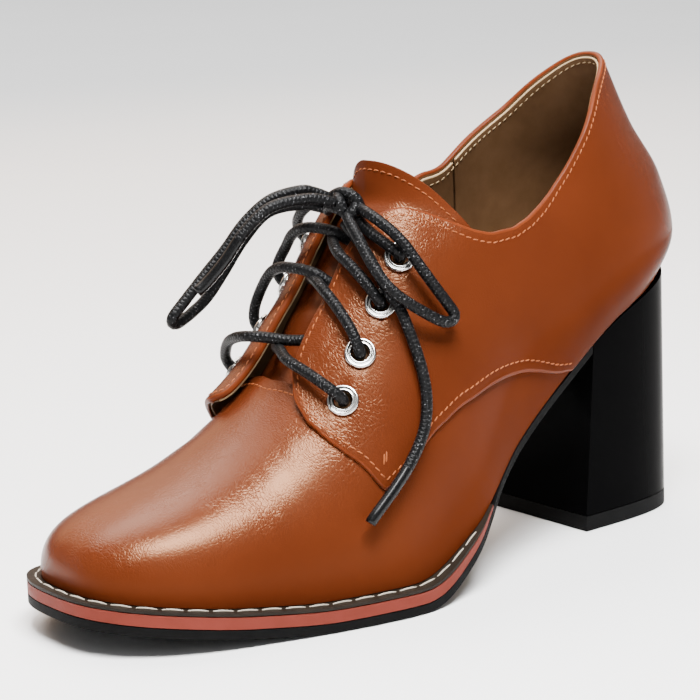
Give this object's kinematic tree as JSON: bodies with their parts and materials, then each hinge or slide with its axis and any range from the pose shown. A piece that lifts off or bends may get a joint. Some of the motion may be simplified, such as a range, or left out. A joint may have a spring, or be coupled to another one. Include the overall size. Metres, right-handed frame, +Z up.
{
  "type": "high heel lace-up shoe",
  "caption": "Lace-up leather shoe on a high block heel, with welted layered sole, open collar, tongue, steel eyelets and a tied cord lace.",
  "frame": {"origin": "middle of the shoe in plan, on the floor that sole and heel stand on", "axes": "+X from toe to heel, -Y to the outer side of the foot, +Z up"},
  "size_m": [0.2296, 0.0876, 0.1474],
  "materials": {
    "upper_leather": "brown polished leather, fine creases",
    "tongue_leather": "brown polished leather",
    "insole_sock": "beige lining leather",
    "welt": "dark brown, stitched",
    "midsole": "matt terracotta red",
    "outsole": "matt black",
    "heel": "glossy black",
    "top_piece": "matt black",
    "eyelet": "polished steel",
    "lace": "waxed black cord"
  },
  "bodies": {
    "root": {"upper": "upper_leather", "tongue": "tongue_leather", "insole": "insole_sock", "welt": "welt", "midsole": "midsole", "outsole": "outsole", "heel": "heel", "heel_top_piece": "top_piece", "eyelet_lateral_1": "eyelet", "eyelet_lateral_2": "eyelet", "eyelet_lateral_3": "eyelet", "eyelet_lateral_4": "eyelet", "eyelet_medial_1": "eyelet", "eyelet_medial_2": "eyelet", "eyelet_medial_3": "eyelet", "eyelet_medial_4": "eyelet", "lace_crossing_1": "lace", "lace_crossing_2": "lace", "lace_crossing_3": "lace", "lace_crossing_4": "lace", "lace_knot": "lace", "lace_loop_lateral": "lace", "lace_loop_medial": "lace", "lace_end_lateral": "lace", "lace_end_medial": "lace"}
  },
  "joints": []
}
